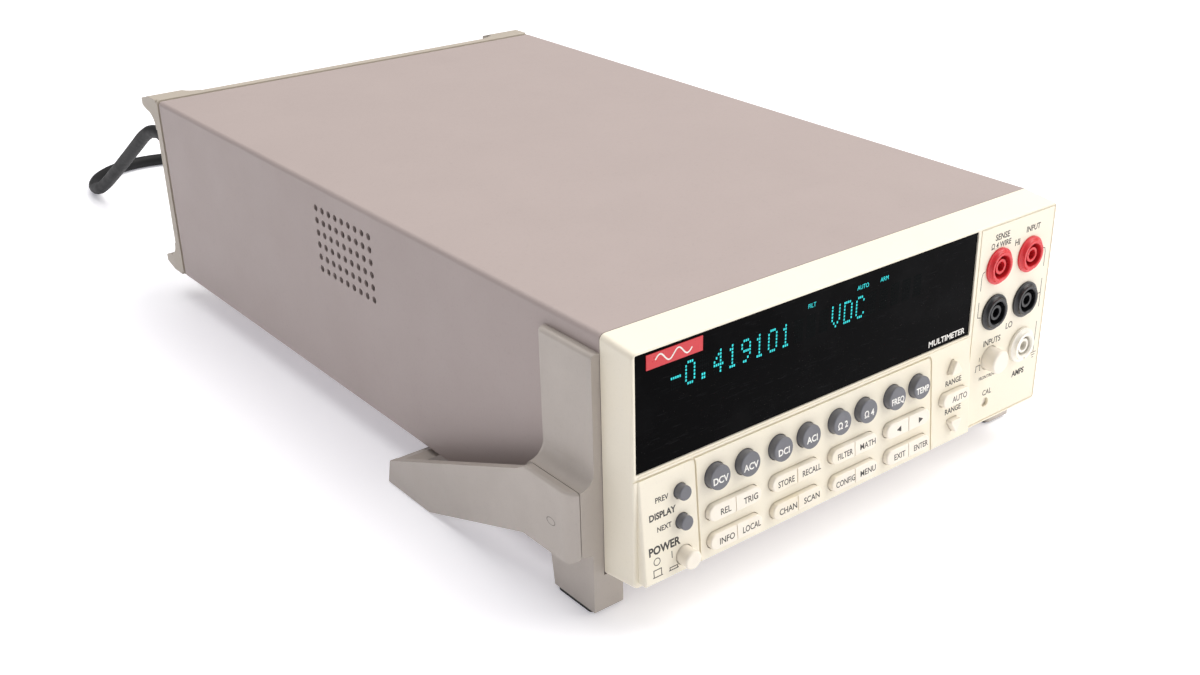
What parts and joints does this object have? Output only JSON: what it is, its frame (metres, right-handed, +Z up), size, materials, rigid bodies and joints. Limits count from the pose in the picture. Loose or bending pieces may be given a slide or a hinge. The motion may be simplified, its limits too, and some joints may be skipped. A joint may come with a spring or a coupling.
{
  "type": "bench multimeter",
  "caption": "Half-rack bench multimeter: sheet-metal sleeve, cream front panel with a wide display and keys, safety jacks, swinging handle, mains cord.",
  "frame": {"origin": "on the table, under the middle of the instrument (front button to rear stand-offs, side to side), without its cord", "axes": "+Z up, -Y out of the front panel, +X to the right seen from the front"},
  "size_m": [0.238, 0.5934, 0.104],
  "materials": {
    "sleeve_paint": "fine textured",
    "cream_plastic": "moulded",
    "grey_plastic": "moulded",
    "rear_plastic": "moulded",
    "rear_foot_plastic": "moulded",
    "window_acrylic": "gloss",
    "tube_glass": "clear",
    "board": "solder mask",
    "silicone": "matt",
    "steel_sheet": "zinc plated",
    "rear_sheet": "painted",
    "rubber": "matt",
    "red_plastic": "moulded",
    "black_plastic": "moulded",
    "brass": "plated",
    "white_plastic": "moulded",
    "transformer_steel": "varnished",
    "connector_metal": "plated",
    "screw_steel": "plated",
    "cord_pvc": "moulded",
    "dark_key": "moulded",
    "cream_key": "moulded"
  },
  "bodies": {
    "case": {"case_sleeve": "sleeve_paint", "front_bezel": "cream_plastic", "display_window": "window_acrylic", "vfd_tube": "tube_glass", "display_board": "board", "keypad_mat": "silicone", "chassis": "steel_sheet", "rear_panel": "rear_sheet", "rear_bezel": "rear_plastic", "left_ear": "grey_plastic", "right_ear": "grey_plastic", "rear_feet": "rear_foot_plastic", "rubber_pads": "rubber", "sense_hi_jack": "red_plastic", "input_hi_jack": "red_plastic", "sense_lo_jack": "black_plastic", "input_lo_jack": "black_plastic", "jack_contacts": "brass", "amps_fuse_holder": "black_plastic", "inputs_switch": "black_plastic", "power_switch": "black_plastic", "transformer": "transformer_steel", "digital_board": "board", "analog_board": "board", "analog_shield": "steel_sheet", "power_inlet": "black_plastic", "rear_jacks": "black_plastic", "rear_connectors": "connector_metal", "screws": "screw_steel", "power_cord": "cord_pvc", "cord_coil": "cord_pvc", "cord_socket": "cord_pvc", "cord_plug": "cord_pvc"},
    "dc_volts_key": {"dc_volts_key": "dark_key"},
    "ac_volts_key": {"ac_volts_key": "dark_key"},
    "dc_amps_key": {"dc_amps_key": "dark_key"},
    "ac_amps_key": {"ac_amps_key": "dark_key"},
    "ohms_two_wire_key": {"ohms_two_wire_key": "dark_key"},
    "ohms_four_wire_key": {"ohms_four_wire_key": "dark_key"},
    "frequency_key": {"frequency_key": "dark_key"},
    "temperature_key": {"temperature_key": "dark_key"},
    "prev_key": {"prev_key": "dark_key"},
    "next_key": {"next_key": "dark_key"},
    "range_up_key": {"range_up_key": "cream_key"},
    "auto_range_key": {"auto_range_key": "cream_key"},
    "range_down_key": {"range_down_key": "cream_key"},
    "rel_trig_rocker": {"rel_trig_rocker": "cream_key"},
    "store_recall_rocker": {"store_recall_rocker": "cream_key"},
    "filter_math_rocker": {"filter_math_rocker": "cream_key"},
    "cursor_rocker": {"cursor_rocker": "cream_key"},
    "info_local_rocker": {"info_local_rocker": "cream_key"},
    "chan_scan_rocker": {"chan_scan_rocker": "cream_key"},
    "config_menu_rocker": {"config_menu_rocker": "cream_key"},
    "exit_enter_rocker": {"exit_enter_rocker": "cream_key"},
    "power_button": {"power_button": "cream_key"},
    "inputs_button": {"inputs_button": "cream_key"},
    "handle": {"handle": "grey_plastic"},
    "amps_fuse_carrier": {"amps_fuse_carrier": "white_plastic"},
    "fuse_drawer": {"fuse_drawer": "black_plastic"},
    "cal_button": {"cal_button": "cream_key"}
  },
  "joints": [
    {"name": "dc_volts_press", "type": "slide", "parent": "case", "child": "dc_volts_key", "axis": [0, 0.996, -0.0892], "range_m": [0, 0.0012], "stiffness_N_per_m": 500},
    {"name": "ac_volts_press", "type": "slide", "parent": "case", "child": "ac_volts_key", "axis": [0, 0.996, -0.0892], "range_m": [0, 0.0012], "stiffness_N_per_m": 500},
    {"name": "dc_amps_press", "type": "slide", "parent": "case", "child": "dc_amps_key", "axis": [0, 0.996, -0.0892], "range_m": [0, 0.0012], "stiffness_N_per_m": 500},
    {"name": "ac_amps_press", "type": "slide", "parent": "case", "child": "ac_amps_key", "axis": [0, 0.996, -0.0892], "range_m": [0, 0.0012], "stiffness_N_per_m": 500},
    {"name": "ohms_two_wire_press", "type": "slide", "parent": "case", "child": "ohms_two_wire_key", "axis": [0, 0.996, -0.0892], "range_m": [0, 0.0012], "stiffness_N_per_m": 500},
    {"name": "ohms_four_wire_press", "type": "slide", "parent": "case", "child": "ohms_four_wire_key", "axis": [0, 0.996, -0.0892], "range_m": [0, 0.0012], "stiffness_N_per_m": 500},
    {"name": "frequency_press", "type": "slide", "parent": "case", "child": "frequency_key", "axis": [0, 0.996, -0.0892], "range_m": [0, 0.0012], "stiffness_N_per_m": 500},
    {"name": "temperature_press", "type": "slide", "parent": "case", "child": "temperature_key", "axis": [0, 0.996, -0.0892], "range_m": [0, 0.0012], "stiffness_N_per_m": 500},
    {"name": "prev_press", "type": "slide", "parent": "case", "child": "prev_key", "axis": [0, 0.996, -0.0892], "range_m": [0, 0.0012], "stiffness_N_per_m": 500},
    {"name": "next_press", "type": "slide", "parent": "case", "child": "next_key", "axis": [0, 0.996, -0.0892], "range_m": [0, 0.0012], "stiffness_N_per_m": 500},
    {"name": "range_up_press", "type": "slide", "parent": "case", "child": "range_up_key", "axis": [0, 0.996, -0.0892], "range_m": [0, 0.0012], "stiffness_N_per_m": 500},
    {"name": "auto_range_press", "type": "slide", "parent": "case", "child": "auto_range_key", "axis": [0, 0.996, -0.0892], "range_m": [0, 0.0012], "stiffness_N_per_m": 500},
    {"name": "range_down_press", "type": "slide", "parent": "case", "child": "range_down_key", "axis": [0, 0.996, -0.0892], "range_m": [0, 0.0012], "stiffness_N_per_m": 500},
    {"name": "rel_trig_tilt", "type": "hinge", "parent": "case", "child": "rel_trig_rocker", "pos_m": [-0.0655, -0.18607, 0.03548], "axis": [0, 0.0892, 0.996], "range_deg": [-3.5, 3.5], "stiffness_Nm_per_rad": 0.09},
    {"name": "store_recall_tilt", "type": "hinge", "parent": "case", "child": "store_recall_rocker", "pos_m": [-0.0365, -0.18607, 0.03548], "axis": [0, 0.0892, 0.996], "range_deg": [-3.5, 3.5], "stiffness_Nm_per_rad": 0.09},
    {"name": "filter_math_tilt", "type": "hinge", "parent": "case", "child": "filter_math_rocker", "pos_m": [-0.0075, -0.18607, 0.03548], "axis": [0, 0.0892, 0.996], "range_deg": [-3.5, 3.5], "stiffness_Nm_per_rad": 0.09},
    {"name": "cursor_tilt", "type": "hinge", "parent": "case", "child": "cursor_rocker", "pos_m": [0.0215, -0.18607, 0.03548], "axis": [0, 0.0892, 0.996], "range_deg": [-3.5, 3.5], "stiffness_Nm_per_rad": 0.09},
    {"name": "info_local_tilt", "type": "hinge", "parent": "case", "child": "info_local_rocker", "pos_m": [-0.0655, -0.18703, 0.02478], "axis": [0, 0.0892, 0.996], "range_deg": [-3.5, 3.5], "stiffness_Nm_per_rad": 0.09},
    {"name": "chan_scan_tilt", "type": "hinge", "parent": "case", "child": "chan_scan_rocker", "pos_m": [-0.0365, -0.18703, 0.02478], "axis": [0, 0.0892, 0.996], "range_deg": [-3.5, 3.5], "stiffness_Nm_per_rad": 0.09},
    {"name": "config_menu_tilt", "type": "hinge", "parent": "case", "child": "config_menu_rocker", "pos_m": [-0.0075, -0.18703, 0.02478], "axis": [0, 0.0892, 0.996], "range_deg": [-3.5, 3.5], "stiffness_Nm_per_rad": 0.09},
    {"name": "exit_enter_tilt", "type": "hinge", "parent": "case", "child": "exit_enter_rocker", "pos_m": [0.0215, -0.18703, 0.02478], "axis": [0, 0.0892, 0.996], "range_deg": [-3.5, 3.5], "stiffness_Nm_per_rad": 0.09},
    {"name": "power_press", "type": "slide", "parent": "case", "child": "power_button", "axis": [0, -1, 0], "range_m": [0, 0.0035]},
    {"name": "inputs_press", "type": "slide", "parent": "case", "child": "inputs_button", "axis": [0, 1, 0], "range_m": [0, 0.0035]},
    {"name": "cal_press", "type": "slide", "parent": "case", "child": "cal_button", "axis": [0, 1, 0], "range_m": [0, 0.0008], "stiffness_N_per_m": 300},
    {"name": "handle_swing", "type": "hinge", "parent": "case", "child": "handle", "pos_m": [0, -0.157, 0.0364], "axis": [-1, 0, 0], "range_deg": [0, 250]},
    {"name": "amps_fuse_turn", "type": "hinge", "parent": "case", "child": "amps_fuse_carrier", "pos_m": [0.092, -0.185, 0.0455], "axis": [0, 1, 0], "range_deg": [0, 90]},
    {"name": "fuse_drawer_slide", "type": "slide", "parent": "case", "child": "fuse_drawer", "axis": [0, 1, 0], "range_m": [0, 0.024]}
  ]
}
